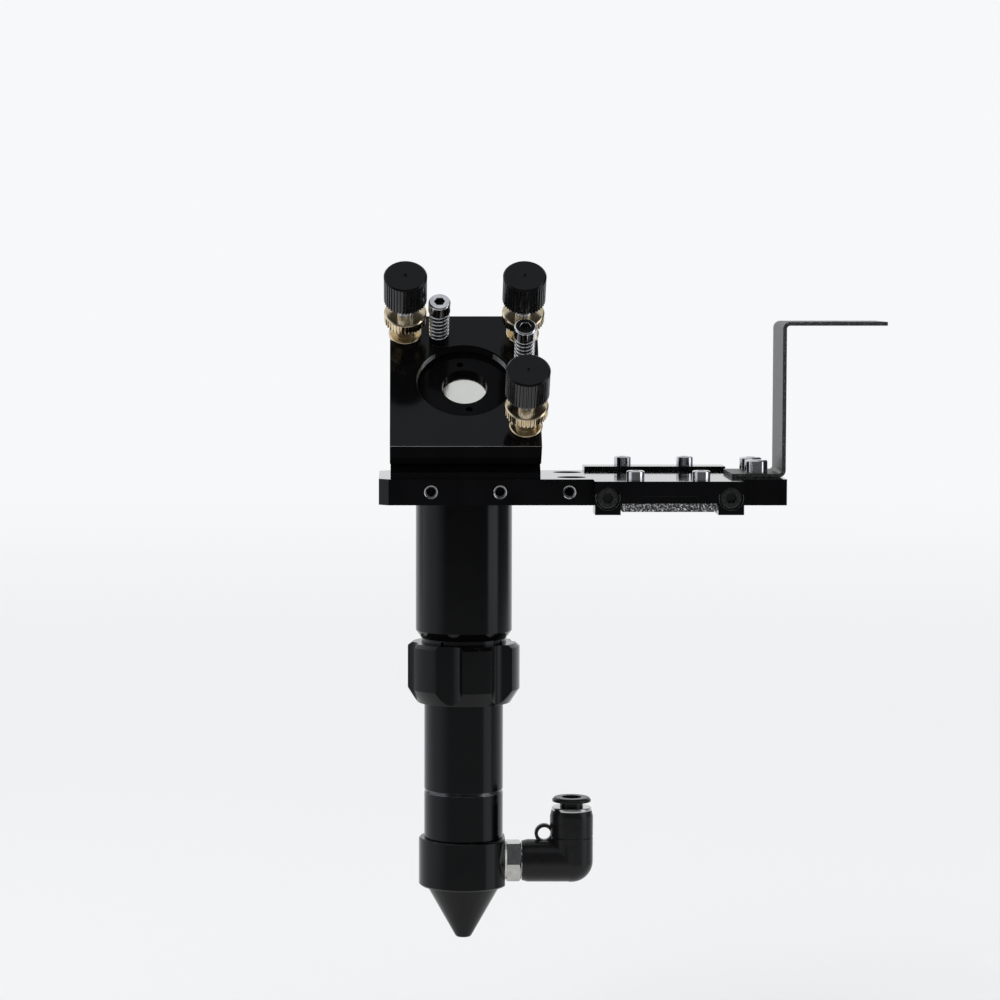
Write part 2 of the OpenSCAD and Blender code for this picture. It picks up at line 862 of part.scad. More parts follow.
module upper_tube() {
    tube_r = tube_d / 2;
    edge = fit * 10;
    collet_r = collet_d / 2;
    lead = (collet_r - sliding_bore_r) / 2;
    spigot_bore_r = lens_tube_bore / 2;
    color(black)
    on_beam()
        difference() {
            rotate_extrude()
                polygon([
                    [spigot_bore_r, spigot_l], [spigot_d / 2, spigot_l], [spigot_d / 2, 0],
                    [tube_r - edge, 0], [tube_r, -edge], [tube_r, tube_end], [collet_r, taper_end], [collet_r, collet_end + lead],
                    [collet_r - lead, collet_end], [sliding_bore_r, collet_end],
                    [sliding_bore_r, -1], [spigot_bore_r, -1]
                ]);
            for (i = [0 : slits - 1])
                rotate(slit_angle + 360 * i / slits)
                    translate([-slit_w / 2, -tube_d, collet_end - cut])
                        cube([slit_w, tube_d, collet_l - slit_land + cut]);
        }
}

module focus_lock_nut() {
    nut_r = focus_nut_d / 2;
    top_edge = focus_nut_gap;
    bore_r = collet_d / 2 + fit;
    mouth_r = lens_tube_d / 2 + clear;
    seat = collet_end - 2 * fit;
    cutter = nut_r - flute_depth + flute_r;
    color(black)
    on_beam()
        difference() {
            rotate_extrude()
                polygon([
                    [bore_r, focus_nut_top], [nut_r - top_edge, focus_nut_top],
                    [nut_r, focus_nut_top - top_edge * 0.8],
                    [nut_r, focus_nut_end + focus_nut_skirt],
                    [nut_r - focus_nut_slope, focus_nut_end], [mouth_r, focus_nut_end],
                    [mouth_r, seat - bore_r + mouth_r], [bore_r, seat]
                ]);
            for (i = [0 : flutes - 1])
                rotate(flute_angle - 90 + 360 * i / flutes)
                    translate([cutter, 0, focus_nut_end - cut])
                        cylinder(r = flute_r, h = focus_nut_h + 2 * cut);
        }
}

module lens_tube() {
    r = lens_tube_d / 2;
    edge = fit * 10;
    socket_r = barrel_thread_d / 2 + fit;
    socket_top = lens_tube_end + barrel_thread_l + fit;
    color(black)
    on_beam()
        rotate_extrude()
            polygon([
                [lens_tube_bore / 2, -lens_tube_top], [r - edge, -lens_tube_top],
                [r, -lens_tube_top - edge], [r, lens_tube_end], [socket_r, lens_tube_end],
                [socket_r, socket_top], [lens_tube_bore / 2, socket_top]
            ]);
}

// The lens drops into the barrel from above
lens_seat = lens_tube_end - lens_seat_drop;
lens_room_r = lens_d / 2 + fit;
lens_way_d = lens_d - 2;
lens_ball_r = focal_length * 1.4;
lens_rim = sqrt(lens_ball_r * lens_ball_r - lens_d * lens_d / 4);
o_ring_mid_d = lens_d - o_ring_d - 4 * fit;
o_ring_seat = lens_seat + lens_edge_t + sqrt(lens_ball_r * lens_ball_r - o_ring_mid_d * o_ring_mid_d / 4) - lens_rim;
lens_ring_low = o_ring_seat + o_ring_d + 2 * fit;

module lens_barrel() {
    r = lens_tube_d / 2;
    groove_end = lens_tube_end - groove_h;
    top = lens_tube_end + barrel_thread_l;
    thread_r = nozzle_thread_d / 2 + fit;
    thread_top = barrel_end + nozzle_thread_l + fit;
    color(black)
    on_beam()
        rotate_extrude()
            polygon([
                [lens_room_r, top], [barrel_thread_d / 2, top], [barrel_thread_d / 2, lens_tube_end],
                [r - groove_depth, lens_tube_end], [r - groove_depth, groove_end], [r, groove_end],
                [r, barrel_end], [thread_r, barrel_end], [thread_r, thread_top],
                [lens_way_d / 2, thread_top], [lens_way_d / 2, lens_seat], [lens_room_r, lens_seat]
            ]);
}

module focus_lens() {
    color(glass)
    on_beam()
        translate([0, 0, lens_seat])
            intersection() {
                cylinder(d = lens_d, h = lens_d);
                translate([0, 0, lens_edge_t - lens_rim])
                    sphere(r = lens_ball_r, $fn = 180);
            }
}

module lens_o_ring() {
    color(plastic)
    on_beam()
        translate([0, 0, o_ring_seat + o_ring_d / 2 + fit])
            round_ring(o_ring_mid_d, o_ring_d);
}

module lens_retaining_ring() {
    slot_w = lens_ring_h / 2;
    color(black)
    on_beam()
        translate([0, 0, lens_ring_low])
            difference() {
                cylinder(d = lens_d, h = lens_ring_h);
                translate([0, 0, -cut])
                    cylinder(d = lens_way_d - 2 * o_ring_d, h = lens_ring_h + 2 * cut);
                translate([-lens_d, -slot_w / 2, lens_ring_h - slot_w])
                    cube([2 * lens_d, slot_w, slot_w + cut]);
            }
}

// Nozzle and air fitting

module nozzle() {
    ring_r = nozzle_ring_d / 2;
    edge = fit * 10;
    room_r = gas_room_d / 2;
    thread_top = barrel_end + nozzle_thread_l;
    orifice_top = tip_z + orifice_d;
    color(black)
    on_beam()
        difference() {
            rotate_extrude()
                polygon([
                    [room_r, thread_top], [nozzle_thread_d / 2, thread_top],
                    [nozzle_thread_d / 2, barrel_end], [ring_r - edge, barrel_end],
                    [ring_r, barrel_end - edge], [ring_r, ring_end + edge], [ring_r - edge, ring_end],
                    [cone_top_d / 2, ring_end], [cone_tip_d / 2, tip_z + tip_edge],
                    [cone_tip_d / 2 - tip_edge, tip_z], [orifice_d / 2, tip_z],
                    [orifice_d / 2, orifice_top], [room_r, ring_end + orifice_d]
                ]);
            translate([0, 0, fitting_axis_z])
                rotate([0, 90, 0])
                    cylinder(d = fitting_thread_d + 2 * fit, h = nozzle_ring_d);
            translate([fitting_flat, -nozzle_ring_d / 2, ring_end - cut])
                cube([nozzle_ring_d, nozzle_ring_d, nozzle_ring_h + 2 * cut]);
        }
}

module fitting_seal() {
    color(pale)
    on_fitting()
        translate([0, 0, fitting_flat])
            difference() {
                cylinder(d = hex_af, h = seal_t);
                translate([0, 0, -cut])
                    cylinder(d = fitting_thread_d + 2 * fit, h = seal_t + 2 * cut);
            }
}

module fitting_stem() {
    thread_l = fitting_flat - gas_room_d / 2 + seal_t;
    groove_mid = hex_end + journal_l * 0.7;
    color(steel)
    on_fitting()
        difference() {
            union() {
                translate([0, 0, seal_end - thread_l])
                    cylinder(d = fitting_thread_d, h = thread_l + cut);
                intersection() {
                    translate([0, 0, seal_end])
                        rotate(hex_turn)
                            cylinder(d = hex_af / cos(30), h = hex_l, $fn = 6);
                    translate([0, 0, seal_end])
                        hex_bevel();
                }
                translate([0, 0, hex_end - cut])
                    cylinder(d = journal_d, h = journal_l + cut);
            }
            translate([0, 0, seal_end - thread_l - cut])
                cylinder(d = air_way_d, h = thread_l + hex_l + journal_l + 2 * cut);
            translate([0, 0, groove_mid - journal_groove / 2])
                difference() {
                    cylinder(d = journal_d + cut, h = journal_groove);
                    translate([0, 0, -cut])
                        cylinder(d = journal_d - journal_groove, h = journal_groove + 2 * cut);
                }
        }
}

// Rounds off the corners of the hexagon at its outer end
module hex_bevel() {
    corner_r = hex_af / 2 / cos(30);
    bevel = (corner_r - hex_af / 2) * 1.2;
    blank_r = corner_r + bevel;
    rotate_extrude()
        polygon([[0, -cut], [blank_r, -cut], [blank_r, hex_l - bevel], [corner_r - bevel, hex_l], [0, hex_l]]);
}

module swivel_seal() {
    section_d = journal_groove / 2;
    color(plastic)
    on_fitting()
        translate([0, 0, hex_end + journal_l * 0.7])
            round_ring(journal_d - section_d, section_d);
}

module elbow_body() {
    up_r = elbow_up_d / 2;
    bottom_room = elbow_arm_l - journal_l - clear;
    color(plastic)
    on_elbow()
        difference() {
            union() {
                elbow_upright(up_r);
                elbow_level(elbow_arm_d / 2);
                elbow_eyelet(eyelet_d, eyelet_t);
            }
            elbow_eyelet(eyelet_hole_d, elbow_up_d);
            translate([-elbow_arm_l, 0, 0])
                rotate([0, 90, 0]) {
                    cylinder(d = journal_d + 2 * fit, h = elbow_arm_l - bottom_room);
                    cylinder(d = air_way_d, h = elbow_arm_l);
                }
            elbow_bores();
        }
}

// Level arm, tapered where it meets the hexagon
module elbow_level(r) {
    translate([clear - elbow_arm_l, 0, 0])
        rotate([0, 90, 0])
            rotate_extrude()
                polygon([
                    [0, 0], [r - elbow_taper / 4, 0], [r, elbow_taper],
                    [r, elbow_arm_l - clear], [0, elbow_arm_l - clear]
                ]);
}

// Upright arm with its round foot, the fine parting groove and a taper at the top
module elbow_upright(r) {
    part_z = r * 1.1;
    part = fit * 5;
    rotate_extrude()
        union() {
            intersection() {
                circle(r = r);
                translate([0, -r])
                    square([r, r]);
            }
            polygon([
                [0, 0], [r, 0], [r, part_z], [r - part, part_z + part], [r, part_z + 2 * part],
                [r, elbow_top - elbow_taper], [r - elbow_taper / 4, elbow_top], [0, elbow_top]
            ]);
        }
}

module elbow_eyelet(d, t) {
    translate([-elbow_up_d / 2 - eyelet_hole_d / 2 + fit * 4, 0, elbow_arm_d / 2 + eyelet_hole_d / 2])
        rotate([90, 0, 0])
            cylinder(d = d, h = t, center = true);
}

module elbow_bores() {
    cylinder(d = air_way_d, h = elbow_top);
    translate([0, 0, tube_stop])
        cylinder(d = air_tube_d + 2 * fit, h = elbow_top);
    translate([0, 0, sleeve_room - tube_seal_t - fit])
        cylinder(d = tube_seal_d + 2 * fit, h = tube_seal_t + fit);
    translate([0, 0, sleeve_room - fit])
        cylinder(d = button_sleeve_d + 2 * fit, h = elbow_top);
}

module tube_seal() {
    color(plastic)
    on_elbow()
        translate([0, 0, sleeve_room - tube_seal_t - fit])
            difference() {
                cylinder(d = tube_seal_d, h = tube_seal_t);
                translate([0, 0, -cut])
                    cylinder(d = air_tube_d + 2 * fit, h = tube_seal_t + 2 * cut);
            }
}

module elbow_collar() {
    color(steel)
    on_elbow()
        translate([0, 0, elbow_top])
            difference() {
                turned(collar_d, collar_h, collar_h / 5);
                translate([0, 0, -cut])
                    cylinder(d = button_sleeve_d + 2 * fit, h = collar_h + 2 * cut);
            }
}

module release_button() {
    bevel = button_t / 2;
    color(plastic)
    on_elbow()
        difference() {
            union() {
                translate([0, 0, sleeve_low])
                    cylinder(d = button_sleeve_d, h = button_low - sleeve_low + bevel);
                translate([0, 0, button_low])
                    turned(button_d, button_t, bevel);
            }
            translate([0, 0, sleeve_low - cut])
                cylinder(d = air_tube_d + 2 * fit, h = elbow_up_d + cut);
        }
}

// Belt clamps

// Places children at the heads of one bar's screws, +Z out of the bar
module at_bar_screws(side) {
    top = side < 0 ? front_bar_top : rear_bar_top;
    for (end = [-1, 1])
        translate([
            bar_mid + end * bar_screw_span / 2,
            side * (plate_w / 2 + bar_w - bar_head_room),
            top - bar_h / 2
        ])
            rotate([-90 * side, 0, 0])
                children();
}

module plate_thread_cut() {
    translate([0, 0, -bar_w + bar_head_room - bar_thread - clear])
        cylinder(d = m4_d + 2 * fit, h = bar_w + bar_thread);
}

module at_strip_screws(side) {
    for (end = [-1, 1])
        translate([bar_mid + end * strip_screw_pitch / 2, side * (plate_w + bar_w) / 2, 0])
            children();
}

module clamp_bar(side, top) {
    recess_l = bar_l - 2 * bar_leg_l;
    y = side < 0 ? -plate_w / 2 - bar_w : plate_w / 2;
    color(black)
    difference() {
        translate([bar_mid - bar_l / 2, y, top - bar_h])
            cube([bar_l, bar_w, bar_h]);
        translate([bar_mid - recess_l / 2, y - cut, top - bar_h - cut])
            cube([recess_l, bar_w + 2 * cut, bar_recess + cut]);
        at_bar_screws(side) {
            cylinder(d = m4_head_d + screw_clear, h = bar_head_room + cut);
            translate([0, 0, -bar_w])
                cylinder(d = m4_d + screw_clear, h = bar_w + cut);
        }
        at_strip_screws(side)
            translate([0, 0, top - bar_h])
                cylinder(d = m3_d + screw_clear, h = bar_h + cut);
        translate([bar_mid, side * (plate_w / 2 + bar_w), top - bar_h + bar_recess])
            bar_pocket_cut();
    }
}

// Shallow pocket with slanted ends above the space between the legs
module bar_pocket_cut() {
    slant = bar_pocket_h * 0.7;
    half = bar_pocket_l / 2;
    rotate([90, 0, 0])
        translate([0, 0, -bar_pocket_depth])
            linear_extrude(2 * bar_pocket_depth)
                polygon([
                    [-half, -cut], [half, -cut], [half, 0],
                    [half - slant, bar_pocket_h], [slant - half, bar_pocket_h], [-half, 0]
                ]);
}

module front_clamp_bar() { clamp_bar(-1, front_bar_top); }
module rear_clamp_bar() { clamp_bar(1, rear_bar_top); }

module clamp_strip(side, top) {
    strip_top = top - bar_h + bar_recess - fit;
    strip_w = bar_w - strip_gap;
    y = side < 0 ? -plate_w / 2 - bar_w : plate_w / 2 + strip_gap;
    color(dark_grey)
    difference() {
        translate([bar_mid - strip_l / 2, y, strip_top - strip_t])
            cube([strip_l, strip_w, strip_t]);
        at_strip_screws(side)
            translate([0, 0, strip_top - strip_t - cut])
                cylinder(d = m3_d + 2 * fit, h = strip_t + 2 * cut);
    }
}

module front_clamp_strip() { clamp_strip(-1, front_bar_top); }
module rear_clamp_strip() { clamp_strip(1, rear_bar_top); }

module clamp_bar_screws() {
    color(black)
    for (side = [-1, 1])
        at_bar_screws(side)
            m4_screw(bar_w - bar_head_room + bar_thread);
}

module clamp_strip_screws() {
    shank = bar_h - bar_recess + strip_t;
    color(steel)
    for (side = [-1, 1])
        at_strip_screws(side)
            translate([0, 0, side < 0 ? front_bar_top : rear_bar_top])
                m3_screw(shank);
}

// Cable bracket

// Quarter of a folded sheet's corner, its hollow side towards the middle
module fold() {
    intersection() {
        difference() {
            circle(r = bracket_fold_r);
            circle(r = bracket_fold_r - sheet_t);
        }
        square(bracket_fold_r);
    }
}

module bracket_outline() {
    leg_x = plate_end + bracket_overhang;
    leg_low = plate_t + bracket_fold_r;
    leg_high = plate_t + bracket_h - bracket_fold_r;
    translate([leg_x - bracket_foot, plate_t])
        square([bracket_foot - bracket_fold_r, sheet_t]);
    translate([leg_x - bracket_fold_r, leg_low])
        mirror([0, 1])
            fold();
    translate([leg_x - sheet_t, leg_low])
        square([sheet_t, leg_high - leg_low]);
    translate([leg_x - sheet_t + bracket_fold_r, leg_high])
        mirror([1, 0])
            fold();
    translate([leg_x - sheet_t + bracket_fold_r, plate_t + bracket_h - sheet_t])
        square([bracket_flange - bracket_fold_r, sheet_t]);
}

module cable_bracket() {
    flange_mid = plate_end + bracket_overhang - sheet_t + (bracket_flange + bracket_fold_r) / 2;
    color(dark_grey)
    difference() {
        translate([0, bracket_y + bracket_w / 2, 0])
            rotate([90, 0, 0])
                linear_extrude(bracket_w)
                    bracket_outline();
        at_bracket_screws()
            translate([0, 0, -cut])
                cylinder(d = m4_d + 2 * screw_clear, h = sheet_t + 2 * cut);
        for (side = [-1, 1])
            translate([flange_mid, bracket_y + side * chain_hole_pitch / 2, plate_t + bracket_h - sheet_t - cut])
                cylinder(d = chain_hole_d, h = sheet_t + 2 * cut);
    }
}

module at_bracket_screws() {
    for (side = [-1, 1])
        translate([
            plate_end + bracket_overhang - bracket_foot + bracket_screw_in,
            bracket_y + side * bracket_screw_pitch / 2,
            plate_t
        ])
            children();
}

module bracket_screws() {
    color(steel)
    at_bracket_screws()
        translate([0, 0, sheet_t])
            m4_screw(sheet_t + plate_t - clear);
}

base_plate();
mirror_housing();
housing_screws();
upper_tube();
front_clamp_bar();
rear_clamp_bar();
front_clamp_strip();
rear_clamp_strip();
clamp_bar_screws();
clamp_strip_screws();
cable_bracket();
bracket_screws();
spring_screws();
upper_spring();
side_spring();
mirror_plate();
beam_mirror();
mirror_retaining_ring();
adjuster_bushings();
upper_left_spindle();
upper_right_spindle();
lower_spindle();
upper_left_lock_nut();
upper_right_lock_nut();
lower_lock_nut();
upper_left_knob();
upper_right_knob();
lower_knob();
focus_lock_nut();
lens_tube();
lens_barrel();
focus_lens();
lens_o_ring();
lens_retaining_ring();
nozzle();
fitting_seal();
fitting_stem();
swivel_seal();
elbow_body();
elbow_collar();
tube_seal();
release_button();
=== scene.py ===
import json
import math

import bmesh
import bpy
from mathutils import Matrix, Vector


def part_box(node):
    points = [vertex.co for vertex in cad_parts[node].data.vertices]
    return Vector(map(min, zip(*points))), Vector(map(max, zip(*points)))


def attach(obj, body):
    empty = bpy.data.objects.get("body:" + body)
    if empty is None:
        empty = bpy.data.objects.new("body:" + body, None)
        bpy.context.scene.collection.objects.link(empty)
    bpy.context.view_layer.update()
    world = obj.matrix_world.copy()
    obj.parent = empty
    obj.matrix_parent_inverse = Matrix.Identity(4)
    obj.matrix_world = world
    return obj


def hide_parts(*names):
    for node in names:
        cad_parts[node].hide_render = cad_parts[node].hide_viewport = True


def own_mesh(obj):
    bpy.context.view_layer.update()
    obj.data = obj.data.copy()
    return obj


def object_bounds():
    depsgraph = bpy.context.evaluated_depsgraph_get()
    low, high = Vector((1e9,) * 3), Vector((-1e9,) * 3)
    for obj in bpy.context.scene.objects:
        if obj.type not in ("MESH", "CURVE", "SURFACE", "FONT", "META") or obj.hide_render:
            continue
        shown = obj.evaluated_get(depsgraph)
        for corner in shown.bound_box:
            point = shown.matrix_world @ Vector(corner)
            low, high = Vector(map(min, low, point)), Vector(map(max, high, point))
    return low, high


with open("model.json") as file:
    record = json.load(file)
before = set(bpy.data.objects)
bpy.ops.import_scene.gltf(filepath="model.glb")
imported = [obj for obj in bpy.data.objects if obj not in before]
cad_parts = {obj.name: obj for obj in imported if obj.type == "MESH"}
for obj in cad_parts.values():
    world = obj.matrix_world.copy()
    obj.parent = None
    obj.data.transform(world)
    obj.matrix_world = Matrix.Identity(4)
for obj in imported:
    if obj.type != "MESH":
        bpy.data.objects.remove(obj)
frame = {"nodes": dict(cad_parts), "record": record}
cad_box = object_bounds()

MM = 0.001
BODY_OF = {n: body for body, names in frame["record"]["behaviour"]["bodies"].items() for n in names}
SLOT_OF = {s["node"]: s["material_slot"] for s in frame["record"]["subparts"]}


def centre_of(node):
    """Middle of a node's box at rest."""
    low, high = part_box(node)
    return (Vector(low) + Vector(high)) / 2


# The beam axis runs down the lens tube, and the mirror frame leans back from it by 45 degrees
BEAM = centre_of("lens_tube")
BEAM.y = 0.0
LEAN = math.radians(45)
MIRROR_FRAME = Matrix.Translation(centre_of("beam_mirror")) @ Matrix.Rotation(LEAN, 4, "X")
TO_MIRROR = MIRROR_FRAME.inverted()


# Materials


class Shader:
    """A node material with short helpers for textures in object space, in metres."""

    def __init__(self, name, colour, metallic=0.0, roughness=0.5):
        self.material = bpy.data.materials.new(name)
        self.material.use_nodes = True
        self.nodes = self.material.node_tree.nodes
        self.links = self.material.node_tree.links
        self.bsdf = self.nodes["Principled BSDF"]
        self.bsdf.inputs["Base Color"].default_value = (*colour, 1.0)
        self.bsdf.inputs["Metallic"].default_value = metallic
        self.bsdf.inputs["Roughness"].default_value = roughness
        self.place = self.nodes.new("ShaderNodeTexCoord").outputs["Object"]

    def stretched(self, scale):
        """Object coordinates scaled per axis, for grain that runs one way."""
        mapping = self.nodes.new("ShaderNodeMapping")
        mapping.inputs["Scale"].default_value = scale
        self.links.new(self.place, mapping.inputs["Vector"])
        return mapping.outputs["Vector"]

    def noise(self, size, detail=4.0, place=None):
        """Noise whose features are about size metres wide."""
        texture = self.nodes.new("ShaderNodeTexNoise")
        texture.inputs["Scale"].default_value = 1.0 / size
        texture.inputs["Detail"].default_value = detail
        self.links.new(place or self.place, texture.inputs["Vector"])
        return texture.outputs["Fac"]

    def ramp(self, value, stops):
        """Colours along a value: stops are (position, colour)."""
        ramp = self.nodes.new("ShaderNodeValToRGB")
        elements = ramp.color_ramp.elements
        while len(elements) < len(stops):
            elements.new(0.5)
        for element, (position, colour) in zip(elements, stops):
            element.position = position
            element.color = (*colour, 1.0)
        self.links.new(value, ramp.inputs["Fac"])
        return ramp.outputs["Color"]

    def span(self, value, low, high):
        """The middle of a noise value's spread mapped to a range."""
        node = self.nodes.new("ShaderNodeMapRange")
        node.inputs["From Min"].default_value = 0.3
        node.inputs["From Max"].default_value = 0.7
        node.inputs["To Min"].default_value = low
        node.inputs["To Max"].default_value = high
        self.links.new(value, node.inputs["Value"])
        return node.outputs["Result"]

    def colour(self, value):
        self.links.new(value, self.bsdf.inputs["Base Color"])

    def mottle(self, size, detail, low, high, top=0.7):
        """Base colour that wanders between two colours over about size metres."""
        self.colour(self.ramp(self.noise(size, detail), [(0.3, low), (top, high)]))

    def rough(self, value):
        self.links.new(value, self.bsdf.inputs["Roughness"])

    def bump(self, value, height, strength=0.5):
        """Bump of a given height in metres."""
        node = self.nodes.new("ShaderNodeBump")
        node.inputs["Strength"].default_value = strength
        node.inputs["Distance"].default_value = height
        self.links.new(value, node.inputs["Height"])
        self.links.new(node.outputs["Normal"], self.bsdf.inputs["Normal"])


def grey(level):
    return (level, level, level)


def black_anodised(name, shine, roughness=0.115):
    """Black anodised aluminium: a satin film with faint cloudiness and a fine blasted grain."""
    shader = Shader(name, grey(0.002), roughness=roughness)
    shader.bsdf.inputs["Specular IOR Level"].default_value = shine
    shader.mottle(9 * MM, 3.0, (0.0015, 0.0015, 0.0017), (0.0026, 0.0026, 0.003), top=0.75)
    shader.rough(shader.span(shader.noise(1.6 * MM, 5.0), roughness * 0.8, roughness * 1.2))
    shader.bump(shader.noise(0.22 * MM, 2.0), 0.0015 * MM)
    return shader.material


def turned_anodised():
    """Black anodised turned parts: fine rings left by the lathe along the beam axis."""
    shader = Shader("turned_anodised", grey(0.0018), roughness=0.15)
    shader.bsdf.inputs["Specular IOR Level"].default_value = 0.2
    rings = shader.noise(0.35 * MM, 3.0, shader.stretched((0.02, 0.02, 1.0)))
    shader.mottle(12 * MM, 3.0, grey(0.0014), grey(0.0024), top=0.75)
    shader.rough(shader.span(rings, 0.12, 0.17))
    shader.bump(rings, 0.002 * MM, 0.1)
    return shader.material


def powder_coat():
    """Dark grey powder coat: a fine orange-peel skin with pale and dark specks."""
    shader = Shader("powder_coat", grey(0.035), roughness=0.42)
    specks = shader.noise(0.5 * MM, 2.0)
    shader.colour(shader.ramp(specks, [
        (0.35, grey(0.008)), (0.5, grey(0.018)), (0.6, grey(0.04)), (0.7, grey(0.14)),
    ]))
    shader.rough(shader.span(specks, 0.34, 0.5))
    shader.bump(shader.noise(0.5 * MM, 3.0), 0.02 * MM, 0.5)
    return shader.material


def phosphate_steel():
    """Grey phosphated strip steel: crystalline specks from dark to pale."""
    shader = Shader("phosphate_steel", grey(0.1), metallic=0.3, roughness=0.5)
    specks = shader.noise(0.55 * MM, 3.0)
    shader.colour(shader.ramp(specks, [
        (0.38, grey(0.012)), (0.5, grey(0.07)), (0.58, grey(0.2)), (0.66, grey(0.7)),
    ]))
    shader.rough(shader.span(specks, 0.35, 0.6))
    shader.bump(specks, 0.02 * MM, 0.6)
    return shader.material


def machined_metal(name, low, high, roughness):
    """Bright metal with fine tool marks and slight tarnish."""
    shader = Shader(name, high, metallic=1.0, roughness=roughness)
    shader.mottle(2.2 * MM, 5.0, low, high, top=0.65)
    marks = shader.noise(0.12 * MM, 2.0)
    shader.rough(shader.span(marks, roughness * 0.75, roughness * 1.3))
    shader.bump(marks, 0.003 * MM, 0.25)
    return shader.material


def black_oxide():
    """Black oxide screws: dark metal with a thin oily gloss."""
    shader = Shader("black_oxide", grey(0.03), metallic=0.6, roughness=0.3)
    shader.mottle(0.8 * MM, 4.0, grey(0.012), grey(0.035))
    shader.rough(shader.span(shader.noise(0.3 * MM, 3.0), 0.24, 0.4))
    shader.bump(shader.noise(0.15 * MM, 2.0), 0.003 * MM)
    return shader.material


def moulded_plastic(name, level, roughness, shine):
    """Black moulded plastic with a faint spark-eroded grain."""
    shader = Shader(name, grey(level), roughness=roughness)
    shader.bsdf.inputs["Specular IOR Level"].default_value = shine
    shader.mottle(3 * MM, 3.0, grey(level * 0.8), grey(level * 1.15))
    shader.rough(shader.span(shader.noise(0.6 * MM, 4.0), roughness * 0.85, roughness * 1.15))
    shader.bump(shader.noise(0.16 * MM, 3.0), 0.003 * MM)
    return shader.material


def pale_seal():
    """Pale sealing compound on the fitting's shoulder."""
    shader = Shader("pale_seal", (0.8, 0.78, 0.72), roughness=0.55)
    shader.mottle(0.7 * MM, 4.0, (0.66, 0.64, 0.58), (0.84, 0.82, 0.77))
    shader.bump(shader.noise(0.25 * MM, 3.0), 0.02 * MM)
    return shader.material


def polished_mirror():
    """Polished mirror disc with a faint warm cast."""
    shader = Shader("polished_mirror", (0.9, 0.88, 0.8), metallic=1.0, roughness=0.12)
    shader.mottle(5 * MM, 3.0, (0.88, 0.86, 0.76), (0.93, 0.91, 0.83))
    shader.rough(shader.span(shader.noise(0.9 * MM, 4.0), 0.08, 0.16))
    return shader.material


def lens_crystal():
    """Amber lens crystal."""
    shader = Shader("lens_crystal", (0.9, 0.6, 0.2), roughness=0.06)
    shader.bsdf.inputs["Transmission Weight"].default_value = 0.85
    shader.bsdf.inputs["IOR"].default_value = 2.4
    shader.mottle(6 * MM, 2.0, (0.85, 0.52, 0.14), (0.92, 0.64, 0.24))
    return shader.material


def seal_rubber():
    """Black seal rubber with a dusty grain."""
    shader = Shader("seal_rubber", grey(0.02), roughness=0.7)
    shader.mottle(0.8 * MM, 4.0, grey(0.014), grey(0.028))
    shader.bump(shader.noise(0.2 * MM, 3.0), 0.01 * MM)
    return shader.material


TURNED = ("upper_tube", "focus_lock_nut", "lens_tube", "lens_barrel", "nozzle")
FINISH = {
    "black_anodised": black_anodised("black_anodised", 0.2),
    "dull_anodised": black_anodised("dull_anodised", 0.05),
    # Black anodising with almost no reflection, laid on faces that look down as painted shade.
    "painted_shade_anodised": black_anodised("painted_shade_anodised", 0.01),
    "lapped_anodised": black_anodised("lapped_anodised", 0.5, 0.06),
    "turned": turned_anodised(),
    "knob": moulded_plastic("knob_plastic", 0.0022, 0.2, 0.18),
    # Lighter, shinier copy of the knob plastic for the ridged sides: painted sheen.
    "knob_grip_painted_sheen": moulded_plastic("knob_grip_painted_sheen", 0.007, 0.17, 0.5),
    "black_plastic": moulded_plastic("elbow_plastic", 0.006, 0.26, 0.22),
    "powder_coat": powder_coat(),
    "strip_steel": phosphate_steel(),
    "bright_steel": machined_metal("bright_steel", grey(0.55), grey(0.75), 0.1),
    "black_steel": black_oxide(),
    "brass": machined_metal("brass", (0.52, 0.41, 0.25), (0.78, 0.67, 0.48), 0.13),
    "nickel": machined_metal("nickel", (0.39, 0.385, 0.37), (0.5, 0.495, 0.475), 0.14),
    "pale_seal": pale_seal(),
    "mirror_back": polished_mirror(),
    "lens_glass": lens_crystal(),
    "seal_rubber": seal_rubber(),
}
# Bare aluminium in the tapped holes of the front edge; also a painted highlight on the clamp bars' lower
# counterbore mouths and the mirror plate's front-facing lower bevel.
BARE_ALUMINIUM_AND_HIGHLIGHT = machined_metal("bare_aluminium_and_highlight", grey(0.45), grey(0.65), 0.3)
# Brighter grey metal laid on a few bevels and thread flanks as a painted highlight, for the light they catch.
PAINTED_HIGHLIGHT_EDGE = machined_metal("painted_highlight_edge", grey(0.1), grey(0.22), 0.22)


def finish_of(node):
    if node in TURNED:
        return FINISH["turned"]
    if node.endswith("_knob"):
        return FINISH["knob"]
    if node == "mirror_retaining_ring":
        return FINISH["dull_anodised"]
    return FINISH[SLOT_OF[node]]


# Rounded edges


def add_piece(name, mesh, node, material):
    """New object that takes its body from a node and is given a material."""
    piece = bpy.data.objects.new(name, mesh)
    bpy.context.scene.collection.objects.link(piece)
    mesh.materials.clear()
    mesh.materials.append(material)
    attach(piece, BODY_OF[node])
    return piece


def smooth_below(mesh, angle):
    """Shades smooth across edges flatter than angle."""
    edges = bmesh.new()
    edges.from_mesh(mesh)
    for face in edges.faces:
        face.smooth = True
    for edge in edges.edges:
        edge.smooth = len(edge.link_faces) == 2 and edge.calc_face_angle(math.pi) < angle
    edges.to_mesh(mesh)
    edges.free()


# The fitting's hexagon as it was tightened, and its narrower size across flats
HEX_TURN = math.radians(31)
HEX_SCALE = 12 / 13
HEX_INNER_R = 5.5 * MM


